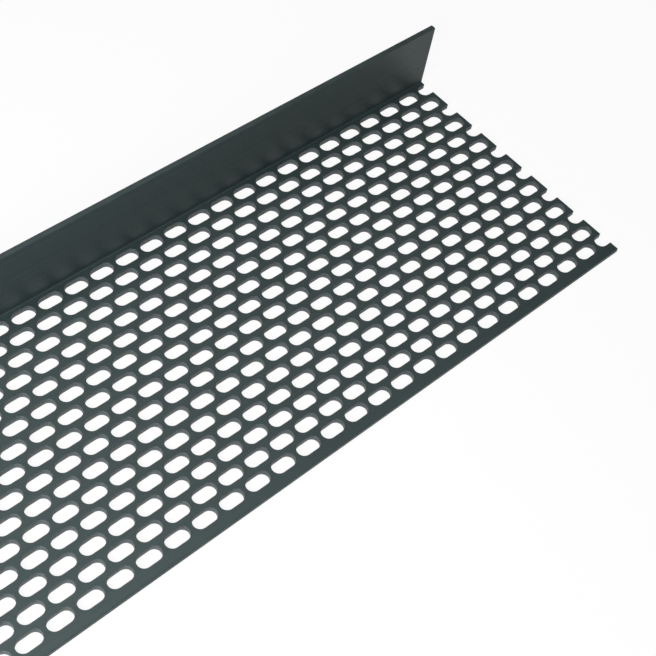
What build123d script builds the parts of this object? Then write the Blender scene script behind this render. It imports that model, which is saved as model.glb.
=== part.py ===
from build123d import *
import math
import os

# A ventilation strip: one length of angle profile. The wide leg lies flat and is punched all over
# with staggered slots, so that air passes and vermin don't. The narrow leg stands plain at the back.
# X runs along the strip, +Y is the back of the upright, Z = 0 is the underside of the slotted leg.

# Section, in millimetres
length = 246.0  # cut length of the strip
leg_width = 100.0  # slotted leg, from the back of the upright to its free edge
upright_height = 28.0  # plain leg, from the underside of the strip to its top edge
sheet = 2.0  # wall thickness of both legs
fold_radius = 0.5  # inside of the fold, which keeps the wall's thickness round the corner
edge_radius = 0.4  # long edges of both legs

# Slots
slot_length = 8.1  # overall, along the strip
slot_width = 4.6  # across the strip
slot_web = 1.7  # wall left between two slots of a row
row_web = 1.7  # wall left between two rows
fold_land = 1.6  # plain strip between the inside of the upright and the first row
free_land = 3.5  # least plain strip between the last row and the free edge

slot_pitch = slot_length + slot_web
row_pitch = slot_width + row_web
back = leg_width / 2
inside = back - sheet
front = -leg_width / 2

rows = int((inside - front - fold_land - free_land + row_web) / row_pitch)
columns = int((length + slot_length) / slot_pitch)
first_row = inside - fold_land - slot_width / 2


def nearest_corner(face, y, z):
    """The corner of a section that lies at a point."""
    return face.vertices().sort_by_distance((y, z, 0))[0]


def angle_section():
    """The section of the strip: an angle with a rounded fold and softened edges."""
    outline = Polyline(
        (front, 0),
        (back, 0),
        (back, upright_height),
        (inside, upright_height),
        (inside, sheet),
        (front, sheet),
        close=True,
    )
    section = make_face(outline)
    section = fillet(nearest_corner(section, back, 0), fold_radius + sheet)
    section = fillet(nearest_corner(section, inside, sheet), fold_radius)
    for y, z in ((front, 0), (front, sheet), (back, upright_height), (inside, upright_height)):
        section = fillet(nearest_corner(section, y, z), edge_radius)
    return section


def slot_punch():
    """The tool for one slot: each round end is two flats that leave the round end's length and open area."""
    tip = slot_length / 2
    side = slot_width / 2
    shoulder = tip - slot_width * (1 - math.pi / 4)
    outline = Polyline(
        (tip, 0),
        (shoulder, side),
        (-shoulder, side),
        (-tip, 0),
        (-shoulder, -side),
        (shoulder, -side),
        close=True,
    )
    return extrude(make_face(outline), sheet, both=True)


def slot_places():
    """Centres of all slots. Each next row is moved along by half a pitch, and the cut ends pass through."""
    places = []
    for row in range(rows):
        count = columns + (row + 1) % 2
        line = Pos(0, first_row - row * row_pitch, sheet / 2)
        places += [line * place for place in GridLocations(slot_pitch, row_pitch, count, 1)]
    return places


strip = extrude(Plane.YZ * angle_section(), length / 2, both=True)
punch = slot_punch()
strip -= [place * punch for place in slot_places()]

os.makedirs("parts", exist_ok=True)
export_step(strip, "parts/vent_strip.step")
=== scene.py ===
"""Looks of a ventilation strip: an angle profile with a slotted leg and a plain upright."""

import logging
import math
from collections.abc import Iterator, Sequence
from dataclasses import dataclass, field
from enum import Enum
from typing import Any, NamedTuple

import bmesh
import bpy
from mathutils import Matrix, Vector


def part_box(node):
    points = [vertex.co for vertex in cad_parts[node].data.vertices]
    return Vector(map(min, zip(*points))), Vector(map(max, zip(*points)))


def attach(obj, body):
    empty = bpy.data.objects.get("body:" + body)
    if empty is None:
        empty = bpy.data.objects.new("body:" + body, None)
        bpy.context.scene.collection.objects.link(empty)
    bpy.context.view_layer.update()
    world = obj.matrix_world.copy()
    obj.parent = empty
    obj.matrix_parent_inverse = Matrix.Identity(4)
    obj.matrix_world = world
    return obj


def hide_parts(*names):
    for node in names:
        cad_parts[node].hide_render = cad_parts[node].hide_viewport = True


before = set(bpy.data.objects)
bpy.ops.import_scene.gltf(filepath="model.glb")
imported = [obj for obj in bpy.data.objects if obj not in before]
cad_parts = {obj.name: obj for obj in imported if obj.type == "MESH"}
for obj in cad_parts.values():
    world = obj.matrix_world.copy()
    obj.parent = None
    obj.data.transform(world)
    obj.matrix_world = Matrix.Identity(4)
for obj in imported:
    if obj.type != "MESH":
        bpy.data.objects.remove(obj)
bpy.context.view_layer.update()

LOG = logging.getLogger("vent_strip")
MM = 0.001
IMAGE_SIDE = 656
SENSOR_WIDTH = 36.0
WELD_DISTANCE = 0.002 * MM
CUT_TOLERANCE = 0.00001 * MM
NORMAL_LAYER = "exact_normal"

Colour = tuple[float, float, float, float]
Triple = tuple[float, float, float]
Span = tuple[float, float]

# Fractal noise keeps to the middle of its range. This part of it is spread over 0 to 1.
NOISE_SPAN: Span = (0.28, 0.72)


class Surface(Enum):
    """How a face of the strip was made. The value is its place in the piece's materials."""

    SKIN = 0
    PUNCHED = 1
    SAWN = 2


class Value:
    """A number that varies over a surface: a shader socket with Python's operators."""

    def __init__(self, shader: "Shader", socket: bpy.types.NodeSocket) -> None:
        """Wrap a socket of a shader's tree."""
        self.shader = shader
        self.socket = socket

    def _math(self, operation: str, first: "Value | float", second: "Value | float") -> "Value":
        """Add one Math node."""
        return self.shader.value("ShaderNodeMath", {"operation": operation}, {0: first, 1: second})

    def __add__(self, other: "Value | float") -> "Value":
        """Sum."""
        return self._math("ADD", self, other)

    def __radd__(self, other: float) -> "Value":
        """Sum with a plain number on the left."""
        return self._math("ADD", other, self)

    def __sub__(self, other: "Value | float") -> "Value":
        """Difference."""
        return self._math("SUBTRACT", self, other)

    def __rsub__(self, other: float) -> "Value":
        """Difference from a plain number."""
        return self._math("SUBTRACT", other, self)

    def __mul__(self, other: "Value | float") -> "Value":
        """Product."""
        return self._math("MULTIPLY", self, other)

    def __rmul__(self, other: float) -> "Value":
        """Product with a plain number on the left."""
        return self._math("MULTIPLY", other, self)

    def at_least(self, other: "Value | float") -> "Value":
        """The larger of two values."""
        return self._math("MAXIMUM", self, other)

    def ramp(self, start: float, end: float) -> "Value":
        """Rise smoothly from 0 at start to 1 at end."""
        settings = {"interpolation_type": "SMOOTHSTEP"}
        sockets = {"Value": self, "From Min": start, "From Max": end}
        return self.shader.value("ShaderNodeMapRange", settings, sockets)


@dataclass(frozen=True)
class Mottle:
    """A fractal noise: its features in a unit of length, its finer octaves and their weight."""

    scale: float
    detail: float
    roughness: float


class Shader:
    """The node tree of one material, or of the world."""

    def __init__(self, tree: bpy.types.NodeTree) -> None:
        """Start from an empty tree."""
        tree.nodes.clear()
        self.tree = tree

    def node(
        self,
        kind: str,
        settings: dict[str, Any] | None = None,
        sockets: dict[str | int, Any] | None = None,
    ) -> bpy.types.Node:
        """Add one node.

        Args:
            kind: Blender's type name of the node.
            settings: the node's own settings, set first. "stops" gives a ramp's stops.
            sockets: for each input, by name or number, a plain value or what is linked to it.

        Returns:
            The new node.
        """
        made = self.tree.nodes.new(kind)
        for name, setting in (settings or {}).items():
            if name == "stops":
                self._set_stops(made.color_ramp, setting)
            else:
                setattr(made, name, setting)
        for key, given in (sockets or {}).items():
            source = given.socket if isinstance(given, Value) else given
            if isinstance(source, bpy.types.NodeSocket):
                self.tree.links.new(source, made.inputs[key])
            else:
                made.inputs[key].default_value = source
        return made

    @staticmethod
    def _set_stops(ramp: bpy.types.ColorRamp, stops: list[tuple[float, Colour]]) -> None:
        """Give a ramp its stops.

        Args:
            ramp: a new ramp, which has two stops.
            stops: place and colour of each stop, in order.
        """
        while len(ramp.elements) < len(stops):
            ramp.elements.new(1.0)
        for element, (place, colour) in zip(ramp.elements, stops):
            element.position = place
            element.color = colour

    def value(
        self, kind: str, settings: dict[str, Any], sockets: dict[str | int, Any]
    ) -> Value:
        """Add one node and take its first output as a value."""
        return Value(self, self.node(kind, settings, sockets).outputs[0])

    def noise(self, place: bpy.types.NodeSocket, mottle: Mottle) -> Value:
        """Fractal noise, spread out to use the whole range from 0 to 1.

        Args:
            place: vector that the noise is read at.
            mottle: how fine it is.

        Returns:
            The noise.
        """
        sockets = {
            "Vector": place,
            "Scale": mottle.scale,
            "Detail": mottle.detail,
            "Roughness": mottle.roughness,
        }
        return self.value("ShaderNodeTexNoise", {}, sockets).ramp(*NOISE_SPAN)

    def place(self) -> bpy.types.NodeSocket:
        """Where on the object a point is, in metres."""
        return self.node("ShaderNodeTexCoord").outputs["Object"]

    def part(self, vector: bpy.types.NodeSocket, axis: int) -> Value:
        """One part of a vector: 0 for x, 1 for y, 2 for z."""
        split = self.node("ShaderNodeSeparateXYZ", {}, {0: vector})
        return Value(self, split.outputs[axis])

    def stretched(self, place: bpy.types.NodeSocket, stretch: Triple) -> bpy.types.NodeSocket:
        """A place with each axis multiplied by its own factor."""
        settings = {"operation": "MULTIPLY"}
        return self.node("ShaderNodeVectorMath", settings, {0: place, 1: stretch}).outputs[0]

    def blended(self, share: Value, first: Colour, second: Colour) -> bpy.types.NodeSocket:
        """A colour between two: a share of 0 gives the first and 1 the second."""
        settings = {"data_type": "RGBA"}
        return self.node("ShaderNodeMix", settings, {0: share, 6: first, 7: second}).outputs[2]


@dataclass(frozen=True)
class Plastic:
    """Rigid slate-green plastic with the marks that a tool left on it and a fine satin grain."""

    name: str
    dark: Colour
    light: Colour
    roughness: float
    roughness_spread: float
    specular: float
    marks_per_metre: Triple
    mark_height: float
    marks: Mottle = Mottle(1.0, 3.0, 0.6)
    grain: Mottle = Mottle(1900.0, 2.0, 0.5)
    grain_height: float = 0.016 * MM
    clouds: Mottle = Mottle(26.0, 4.0, 0.55)
    cloud_tone: float = 0.4
    mark_tone: float = 0.35
    grain_tone: float = 0.25
    cloud_gloss: float = 0.6
    grain_gloss: float = 0.4

    def lighter(self, shader: Shader, place: bpy.types.NodeSocket) -> Value | float:
        """How much lighter each place is than plain plastic: nowhere, unless a finish says so."""
        return 0.0

    def material(self) -> bpy.types.Material:
        """Build the finish.

        Returns:
            The Blender material.
        """
        made = bpy.data.materials.new(self.name)
        made.use_nodes = True
        shader = Shader(made.node_tree)
        place = shader.place()
        marks = shader.noise(shader.stretched(place, self.marks_per_metre), self.marks)
        grain = shader.noise(place, self.grain)
        clouds = shader.noise(place, self.clouds)
        tone = clouds * self.cloud_tone + marks * self.mark_tone + grain * self.grain_tone
        tone = tone + self.lighter(shader, place)
        height = marks * self.mark_height + grain * self.grain_height
        relief = {"Strength": 1.0, "Distance": 1.0, "Height": height}
        bump = shader.node("ShaderNodeBump", {}, relief)
        uneven = clouds * self.cloud_gloss + grain * self.grain_gloss - 0.5
        surface = shader.node(
            "ShaderNodeBsdfPrincipled",
            {},
            {
                "Base Color": shader.blended(tone, self.dark, self.light),
                "Roughness": self.roughness + uneven * self.roughness_spread,
                "Specular IOR Level": self.specular,
                "Normal": bump.outputs[0],
            },
        )
        shader.node("ShaderNodeOutputMaterial", {}, {"Surface": surface.outputs[0]})
        return made


@dataclass(frozen=True)
class ExtrudedSkin(Plastic):
    """The skin that the die leaves, with lines along the strip and long edges rubbed in use."""

    free_edge: float = -50.0 * MM
    top_edge: float = 28.0 * MM
    rubbed_width: float = 1.2 * MM
    rubbed: float = 0.35
    patches: Mottle = Mottle(180.0, 4.0, 0.6)
    patch_span: Span = (0.3, 0.9)

    def lighter(self, shader: Shader, place: bpy.types.NodeSocket) -> Value:
        """Rubbed patches along the free edge of the leg and the top edge of the upright.

        Args:
            shader: tree that the nodes go in.
            place: where on the strip a point is.

        Returns:
            How much lighter each place is.
        """
        across, upward = shader.part(place, 1), shader.part(place, 2)
        free = across.ramp(self.free_edge + self.rubbed_width, self.free_edge)
        top = upward.ramp(self.top_edge - self.rubbed_width, self.top_edge)
        patches = shader.noise(place, self.patches).ramp(*self.patch_span)
        return free.at_least(top) * patches * self.rubbed


@dataclass(frozen=True)
class PunchedWall(Plastic):
    """The wall of a slot: burnished where the punch went in, and torn paler below. Its colours are
    lighter than the skin's, partly paler punched plastic and partly painted light for the bounce
    from the white floor.
    """

    torn_from: float = 0.9 * MM
    torn_to: float = 0.5 * MM
    torn: float = 0.55
    border: Mottle = Mottle(700.0, 2.0, 0.5)
    border_height: float = 1.2 * MM

    def lighter(self, shader: Shader, place: bpy.types.NodeSocket) -> Value:
        """The torn zone near the underside, with an uneven upper border.

        Args:
            shader: tree that the nodes go in.
            place: where on the strip a point is.

        Returns:
            How much lighter each place is.
        """
        uneven = (shader.noise(place, self.border) - 0.5) * self.border_height
        height = shader.part(place, 2) + uneven
        return height.ramp(self.torn_from, self.torn_to) * self.torn


class Body:
    """A mesh in the making, which keeps an exact normal at each point."""

    def __init__(self) -> None:
        """Start with no points."""
        self.mesh = bmesh.new()
        self.normals = self.mesh.verts.layers.float_vector.new(NORMAL_LAYER)

    def point(self, place: Vector, normal: Vector) -> bmesh.types.BMVert:
        """Add one point.

        Args:
            place: where it lies.
            normal: its exact normal.

        Returns:
            The new point.
        """
        made = self.mesh.verts.new(place)
        made[self.normals] = normal
        return made

    def face(self, points: Sequence[bmesh.types.BMVert], surface: Surface) -> None:
        """Add one smooth face.

        Args:
            points: its corners, anticlockwise from outside.
            surface: how the face was made.
        """
        made = self.mesh.faces.new(points)
        made.material_index = surface.value
        made.smooth = True

    def weld(self) -> None:
        """Join the points that lie at one place."""
        bmesh.ops.remove_doubles(self.mesh, verts=self.mesh.verts[:], dist=WELD_DISTANCE)

    def saw_off(self, reach: float, side: int) -> None:
        """Saw off an end square and close the cut.

        Args:
            reach: how far the cut lies from the middle.
            side: 1 for the end at +X, -1 for the other.
        """
        cut = bmesh.ops.bisect_plane(
            self.mesh,
            geom=self.mesh.verts[:] + self.mesh.edges[:] + self.mesh.faces[:],
            dist=CUT_TOLERANCE,
            plane_co=(side * reach, 0, 0),
            plane_no=(side, 0, 0),
            clear_outer=True,
        )
        rim = [edge for edge in cut["geom_cut"] if isinstance(edge, bmesh.types.BMEdge)]
        for cap in bmesh.ops.edgeloop_fill(self.mesh, edges=rim)["faces"]:
            cap.material_index = Surface.SAWN.value
            cap.smooth = True
            cap.normal_update()
            if cap.normal.x * side < 0:
                cap.normal_flip()

    def finished(self, name: str) -> bpy.types.Mesh:
        """Write the mesh out. Each corner gets its point's exact normal, or its sawn face's.

        Args:
            name: what the mesh is called.

        Returns:
            The mesh.
        """
        mesh = bpy.data.meshes.new(name)
        self.mesh.to_mesh(mesh)
        self.mesh.free()
        layer = mesh.attributes[NORMAL_LAYER]
        exact = [Vector(item.vector).normalized() for item in layer.data]
        normals = [exact[loop.vertex_index] for loop in mesh.loops]
        for polygon in mesh.polygons:
            if polygon.material_index == Surface.SAWN.value:
                for corner in polygon.loop_indices:
                    normals[corner] = polygon.normal
        mesh.normals_split_custom_set(normals)
        mesh.attributes.remove(mesh.attributes[NORMAL_LAYER])
        return mesh


class Ring(NamedTuple):
    """A ring of a slot's wall: how far outside the slot, how high, and its normal's lean."""

    outset: float
    height: float
    lean: float


class SectionPoint(NamedTuple):
    """A point of the strip's section and its normal, across the strip and upward."""

    y: float
    z: float
    normal_y: float
    normal_z: float


@dataclass
class SlottedAngle:
    """The strip: a flat leg with staggered slots, folded up into a plain upright at its back."""

    low: Vector
    high: Vector
    sheet: float = 2.0 * MM
    fold_radius: float = 0.5 * MM
    edge_radius: float = 0.4 * MM
    slot_length: float = 8.1 * MM
    slot_width: float = 4.6 * MM
    slot_web: float = 1.7 * MM
    row_web: float = 1.7 * MM
    fold_land: float = 1.6 * MM
    free_land: float = 3.5 * MM
    rim_roll: float = 0.2 * MM
    rim_break: float = 0.05 * MM
    end_steps: int = 12
    roll_steps: int = 3
    arc_steps: int = 6
    finishes: dict[Surface, Plastic] = field(default_factory=dict)

    def __post_init__(self) -> None:
        """Work out the pitches, the rows and the places that the rest is built from."""
        self.length = self.high.x - self.low.x
        self.back = self.high.y
        self.front = self.low.y
        self.top = self.high.z
        self.inside = self.back - self.sheet
        self.slot_pitch = self.slot_length + self.slot_web
        self.row_pitch = self.slot_width + self.row_web
        room = self.inside - self.front - self.fold_land - self.free_land + self.row_web
        self.rows = int(room / self.row_pitch)
        self.columns = int((self.length + self.slot_length) / self.slot_pitch)
        self.first_row = self.inside - self.fold_land - self.slot_width / 2
        self.panel_back = self.first_row + self.row_pitch / 2
        self.panel_front = self.panel_back - self.rows * self.row_pitch
        # Half pitches from the middle to each end of the strip as built, before it is cut.
        self.half_steps = self.columns + 2

    @property
    def ring_points(self) -> int:
        """Number of points in a ring of a slot's wall."""
        return 2 * (self.end_steps + 1)

    def slot_ring(self, ring: Ring) -> Iterator[tuple[Vector, Vector]]:
        """Points of one ring of a slot's wall, anticlockwise from the foot of the right end.

        Args:
            ring: the ring to make.

        Yields:
            Each point and its normal.
        """
        radius = self.slot_width / 2
        middle = (self.slot_length - self.slot_width) / 2
        for side in (1, -1):
            for step in range(self.end_steps + 1):
                angle = math.pi * (step / self.end_steps - 0.5) + (0 if side > 0 else math.pi)
                out = Vector((math.cos(angle), math.sin(angle), 0))
                point = Vector((side * middle, 0, ring.height)) + out * (radius + ring.outset)
                yield point, Vector((0, 0, math.sin(ring.lean))) - out * math.cos(ring.lean)

    def wall_rings(self) -> list[Ring]:
        """Lay out a slot's wall.

        Returns:
            Its rings, from the top face, over the rolled rim, to the underside.
        """
        rings = []
        for step in range(self.roll_steps + 1):
            lean = math.pi / 2 * (1 - step / self.roll_steps)
            drop = self.rim_roll * (1 - math.sin(lean))
            rings.append(Ring(self.rim_roll * (1 - math.cos(lean)), self.sheet - drop, lean))
        rings.append(Ring(0.0, self.rim_break, 0.0))
        rings.append(Ring(self.rim_break, 0.0, -math.pi / 2))
        return rings

    def corners(self, height: float) -> list[Vector]:
        """Outline one slot's field of wall.

        Args:
            height: how high the outline lies.

        Returns:
            Its six points, anticlockwise from the corner at lower right.
        """
        x, y = self.slot_pitch / 2, self.row_pitch / 2
        places = ((x, -y), (x, y), (0, y), (-x, y), (-x, -y), (0, -y))
        return [Vector((*place, height)) for place in places]

    def flat_faces(self) -> Iterator[tuple[int, int, int]]:
        """Triangles between a slot's outer ring and its field's outline, anticlockwise.

        Yields:
            Three numbers: points of the ring first, then the six points of the outline.
        """
        count = self.ring_points
        half = self.end_steps // 2
        right_low, right_high, top, left_high, left_low, bottom = range(count, count + 6)
        ends = ((0, right_low, right_high), (self.end_steps + 1, left_high, left_low))
        for first, near, far in ends:
            for step in range(self.end_steps):
                yield first + step, near if step < half else far, first + step + 1
            yield first + half, near, far
        sides = (
            (self.end_steps, right_high, top, left_high, self.end_steps + 1),
            (count - 1, left_low, bottom, right_low, 0),
        )
        for before, begin, middle, end, after in sides:
            yield before, begin, middle
            yield before, middle, after
            yield after, middle, end

    def slot_centres(self) -> Iterator[Vector]:
        """Places of the slots, row by row and past both ends, where the strip is cut.

        Yields:
            The middle of each slot's field.
        """
        reach = self.half_steps // 2
        for row in range(self.rows):
            shift = 0.5 if row % 2 == 0 else 0.0
            for column in range(-reach, reach + (0 if shift else 1)):
                y = self.first_row - row * self.row_pitch
                yield Vector(((column + shift) * self.slot_pitch, y, 0))

    def arc(
        self, centre: Span, radius: float, start: float, end: float, facing: int = 1
    ) -> list[SectionPoint]:
        """Round a corner of the section.

        Args:
            centre: middle of the arc, across the strip and upward.
            radius: radius of the arc.
            start: first angle in degrees, from +Y towards +Z.
            end: last angle in degrees.
            facing: 1 where the wall lies inside the arc, -1 where it lies outside.

        Returns:
            The arc's points.
        """
        points = []
        for step in range(self.arc_steps + 1):
            angle = math.radians(start + (end - start) * step / self.arc_steps)
            y, z = math.cos(angle), math.sin(angle)
            place = centre[0] + radius * y, centre[1] + radius * z
            points.append(SectionPoint(*place, facing * y, facing * z))
        return points

    def upright_profile(self) -> list[SectionPoint]:
        """Section of the fold and the upright.

        Returns:
            Its points, from the slotted leg's top face round to its underside.
        """
        fold = self.inside - self.fold_radius, self.sheet + self.fold_radius
        edge = self.edge_radius
        return [
            SectionPoint(self.panel_back, self.sheet, 0, 1),
            *self.arc(fold, self.fold_radius, -90, 0, facing=-1),
            *self.arc((self.inside + edge, self.top - edge), edge, 180, 90),
            *self.arc((self.back - edge, self.top - edge), edge, 90, 0),
            *self.arc(fold, self.fold_radius + self.sheet, 0, -90),
            SectionPoint(self.panel_back, 0, 0, -1),
        ]

    def free_edge_profile(self) -> list[SectionPoint]:
        """Section of the slotted leg's free edge.

        Returns:
            Its points, from the leg's underside round to its top face.
        """
        edge = self.edge_radius
        return [
            SectionPoint(self.panel_front, 0, 0, -1),
            *self.arc((self.front + edge, edge), edge, 270, 180),
            *self.arc((self.front + edge, self.sheet - edge), edge, 180, 90),
            SectionPoint(self.panel_front, self.sheet, 0, 1),
        ]

    def add_slots(self, body: Body) -> None:
        """Add the slotted field of the leg.

        Args:
            body: mesh that is built.
        """
        rings = self.wall_rings()
        flats = list(self.flat_faces())
        up, down = Vector((0, 0, 1)), Vector((0, 0, -1))
        for centre in self.slot_centres():
            wall = [[body.point(centre + p, n) for p, n in self.slot_ring(r)] for r in rings]
            for upper, lower in zip(wall, wall[1:]):
                for i in range(self.ring_points):
                    j = (i + 1) % self.ring_points
                    body.face((upper[i], upper[j], lower[j], lower[i]), Surface.PUNCHED)
            over = wall[0] + [body.point(centre + p, up) for p in self.corners(self.sheet)]
            under = wall[-1] + [body.point(centre + p, down) for p in self.corners(0.0)]
            for a, b, c in flats:
                body.face((over[a], over[b], over[c]), Surface.SKIN)
                body.face((under[c], under[b], under[a]), Surface.SKIN)

    def add_sweep(self, body: Body, profile: list[SectionPoint]) -> None:
        """Sweep an open profile along the strip, in half pitches so that it meets the slots.

        Args:
            body: mesh that is built.
            profile: its points, in the order that puts the outside on the left going along +X.
        """
        stations = []
        for step in range(-self.half_steps, self.half_steps + 1):
            x = step * self.slot_pitch / 2
            stations.append(
                [
                    body.point(Vector((x, p.y, p.z)), Vector((0, p.normal_y, p.normal_z)))
                    for p in profile
                ]
            )
        for before, now in zip(stations, stations[1:]):
            for i in range(len(profile) - 1):
                body.face((before[i], now[i], now[i + 1], before[i + 1]), Surface.SKIN)

    def build(self) -> bpy.types.Object:
        """Build the strip's mesh.

        Returns:
            The piece, at its place in the frame.
        """
        body = Body()
        self.add_slots(body)
        self.add_sweep(body, self.upright_profile())
        self.add_sweep(body, self.free_edge_profile())
        body.weld()
        for side in (1, -1):
            body.saw_off(self.length / 2, side)
        piece = bpy.data.objects.new("slotted_angle", body.finished("slotted_angle"))
        bpy.context.scene.collection.objects.link(piece)
        return piece

    def dress(self, piece: bpy.types.Object) -> None:
        """Give the strip its finishes and its place in the frame.

        Args:
            piece: what build returned.
        """
        for surface in Surface:
            piece.data.materials.append(self.finishes[surface].material())
        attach(piece, "root")
        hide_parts("vent_strip")


@dataclass(frozen=True)
class Lamp:
    """A soft square lamp, hidden from the camera itself."""

    name: str
    place: Triple
    aim: Triple
    side: float
    power: float

    def build(self) -> bpy.types.Object:
        """Hang the lamp.

        Returns:
            The lamp's object.
        """
        light = bpy.data.lights.new(self.name, "AREA")
        light.shape = "SQUARE"
        light.size = self.side
        light.energy = self.power
        lamp = bpy.data.objects.new(self.name, light)
        lamp.location = self.place
        sight = Vector(self.aim) - Vector(self.place)
        lamp.rotation_euler = sight.to_track_quat("-Z", "Y").to_euler()
        lamp.visible_camera = False
        bpy.context.scene.collection.objects.link(lamp)
        return lamp


@dataclass(frozen=True)
class Viewpoint:
    """The camera: where it stands, where it looks and how far it is rolled, in degrees."""

    place: Triple
    heading: float
    tilt: float
    roll: float
    focal_pixels: float
    nearest: float = 0.01

    def build(self) -> bpy.types.Object:
        """Place the camera.

        Returns:
            The camera's object.
        """
        data = bpy.data.cameras.new("camera")
        data.sensor_width = SENSOR_WIDTH
        data.lens = self.focal_pixels / IMAGE_SIDE * SENSOR_WIDTH
        data.clip_start = self.nearest
        camera = bpy.data.objects.new("camera", data)
        turn = Matrix.Rotation(math.radians(-self.heading), 4, "Z")
        nod = Matrix.Rotation(math.radians(90 - self.tilt), 4, "X")
        roll = Matrix.Rotation(math.radians(self.roll), 4, "Z")
        camera.matrix_world = Matrix.Translation(self.place) @ turn @ nod @ roll
        bpy.context.scene.collection.objects.link(camera)
        bpy.context.scene.camera = camera
        return camera


@dataclass(frozen=True)
class Studio:
    """A white table under a pale room that is brightest overhead."""

    floor_side: float = 40.0
    floor_white: Colour = (0.9, 0.9, 0.9, 1.0)
    shown_white: Colour = (1.0, 1.0, 1.0, 1.0)
    shown_share: float = 0.92
    horizon: Colour = (0.06, 0.06, 0.06, 1.0)
    zenith: Colour = (0.2, 0.2, 0.2, 1.0)
    ramp_start: float = 0.6
    ramp_end: float = 0.95
    floor_in_gloss: float = 1.0
    room_in_gloss: float = 0.3
    lamps: tuple[Lamp, ...] = ()

    @staticmethod
    def seen_white(shader: Shader, in_gloss: float) -> Value:
        """How much of its plain white a surface of the studio shows to a ray.

        Args:
            shader: tree that the nodes go in.
            in_gloss: share of the white that a reflection shows.

        Returns:
            1 for the camera and through see-through surfaces, the share in a reflection, else 0.
        """
        path = shader.node("ShaderNodeLightPath")
        camera, glossy, clear = (
            Value(shader, path.outputs[f"Is {kind} Ray"])
            for kind in ("Camera", "Glossy", "Transmission")
        )
        return camera.at_least(clear).at_least(glossy * in_gloss)

    def floor(self) -> bpy.types.Object:
        """Lay the table: white to the eye, with part of its shading kept so that shadows show.

        Returns:
            The floor's object.
        """
        half = self.floor_side / 2
        mesh = bpy.data.meshes.new("floor")
        corners = [(-half, -half, 0), (half, -half, 0), (half, half, 0), (-half, half, 0)]
        mesh.from_pydata(corners, [], [(0, 1, 2, 3)])
        material = bpy.data.materials.new("white_table")
        material.use_nodes = True
        shader = Shader(material.node_tree)
        shaded = shader.node("ShaderNodeBsdfDiffuse", {}, {"Color": self.floor_white})
        white = {"Color": self.shown_white, "Strength": 1.0}
        shown = shader.node("ShaderNodeEmission", {}, white)
        share = self.seen_white(shader, self.floor_in_gloss) * self.shown_share
        mix = {0: share, 1: shaded.outputs[0], 2: shown.outputs[0]}
        mixed = shader.node("ShaderNodeMixShader", {}, mix)
        shader.node("ShaderNodeOutputMaterial", {}, {"Surface": mixed.outputs[0]})
        mesh.materials.append(material)
        floor = bpy.data.objects.new("floor", mesh)
        bpy.context.scene.collection.objects.link(floor)
        return floor

    def room(self) -> None:
        """Light the scene from all round, more from overhead, with plain white seen behind."""
        world = bpy.data.worlds.new("room")
        world.use_nodes = True
        bpy.context.scene.world = world
        shader = Shader(world.node_tree)
        direction = shader.node("ShaderNodeTexCoord").outputs["Generated"]
        stops = [(self.ramp_start, self.horizon), (self.ramp_end, self.zenith)]
        ramp = shader.node("ShaderNodeValToRGB", {"stops": stops}, {0: shader.part(direction, 2)})
        graded = {"Color": ramp.outputs[0], "Strength": 1.0}
        lit = shader.node("ShaderNodeBackground", {}, graded)
        white = {"Color": self.shown_white, "Strength": 1.0}
        shown = shader.node("ShaderNodeBackground", {}, white)
        seen = self.seen_white(shader, self.room_in_gloss)
        mix = {0: seen, 1: lit.outputs[0], 2: shown.outputs[0]}
        mixed = shader.node("ShaderNodeMixShader", {}, mix)
        shader.node("ShaderNodeOutputWorld", {}, {"Surface": mixed.outputs[0]})

    def build(self) -> None:
        """Set the table, the room and the lamps."""
        self.floor()
        self.room()
        for lamp in self.lamps:
            lamp.build()
        bpy.context.scene.view_settings.view_transform = "Standard"


SKIN = ExtrudedSkin(
    name="extruded_skin",
    dark=(0.0165, 0.03, 0.0305, 1.0),
    light=(0.031, 0.0475, 0.048, 1.0),
    roughness=0.54,
    roughness_spread=0.2,
    specular=0.38,
    marks_per_metre=(4.0, 700.0, 700.0),
    mark_height=0.026 * MM,
)
# The punched wall's colours are lighter than the skin's: partly the paler punched plastic, partly
# painted light standing in for the bounce from the white floor onto the slot walls.
PUNCHED = PunchedWall(
    name="punched_wall_and_painted_bounce",
    dark=(0.024, 0.035, 0.037, 1.0),
    light=(0.056, 0.07, 0.072, 1.0),
    roughness=0.5,
    roughness_spread=0.24,
    specular=0.45,
    marks_per_metre=(1100.0, 1100.0, 60.0),
    mark_height=0.03 * MM,
)
SAWN = Plastic(
    name="sawn_end",
    dark=(0.024, 0.034, 0.036, 1.0),
    light=(0.058, 0.072, 0.074, 1.0),
    roughness=0.62,
    roughness_spread=0.2,
    specular=0.4,
    marks_per_metre=(900.0, 50.0, 1700.0),
    mark_height=0.05 * MM,
)

STUDIO = Studio(
    lamps=(
        Lamp("key", place=(-0.34, -0.14, 0.22), aim=(-0.1, -0.03, 0.0), side=0.2, power=2.4),
        Lamp("overhead", place=(-0.05, 0.09, 0.46), aim=(-0.05, 0.0, 0.0), side=0.38, power=0.95),
    )
)

VIEWPOINT = Viewpoint(
    place=(-0.1840, -0.1718, 0.3400),
    heading=52.39,
    tilt=52.83,
    roll=12.96,
    focal_pixels=1344.1,
)


def main() -> None:
    """Build the strip, its finishes, the studio and the camera."""
    logging.basicConfig(level=logging.INFO)
    low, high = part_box("vent_strip")
    finishes = {Surface.SKIN: SKIN, Surface.PUNCHED: PUNCHED, Surface.SAWN: SAWN}
    strip = SlottedAngle(low, high, finishes=finishes)
    piece = strip.build()
    strip.dress(piece)
    LOG.info("%s: %d faces, %d rows of slots", piece.name, len(piece.data.polygons), strip.rows)
    STUDIO.build()
    VIEWPOINT.build()


if __name__ == "__main__":
    main()
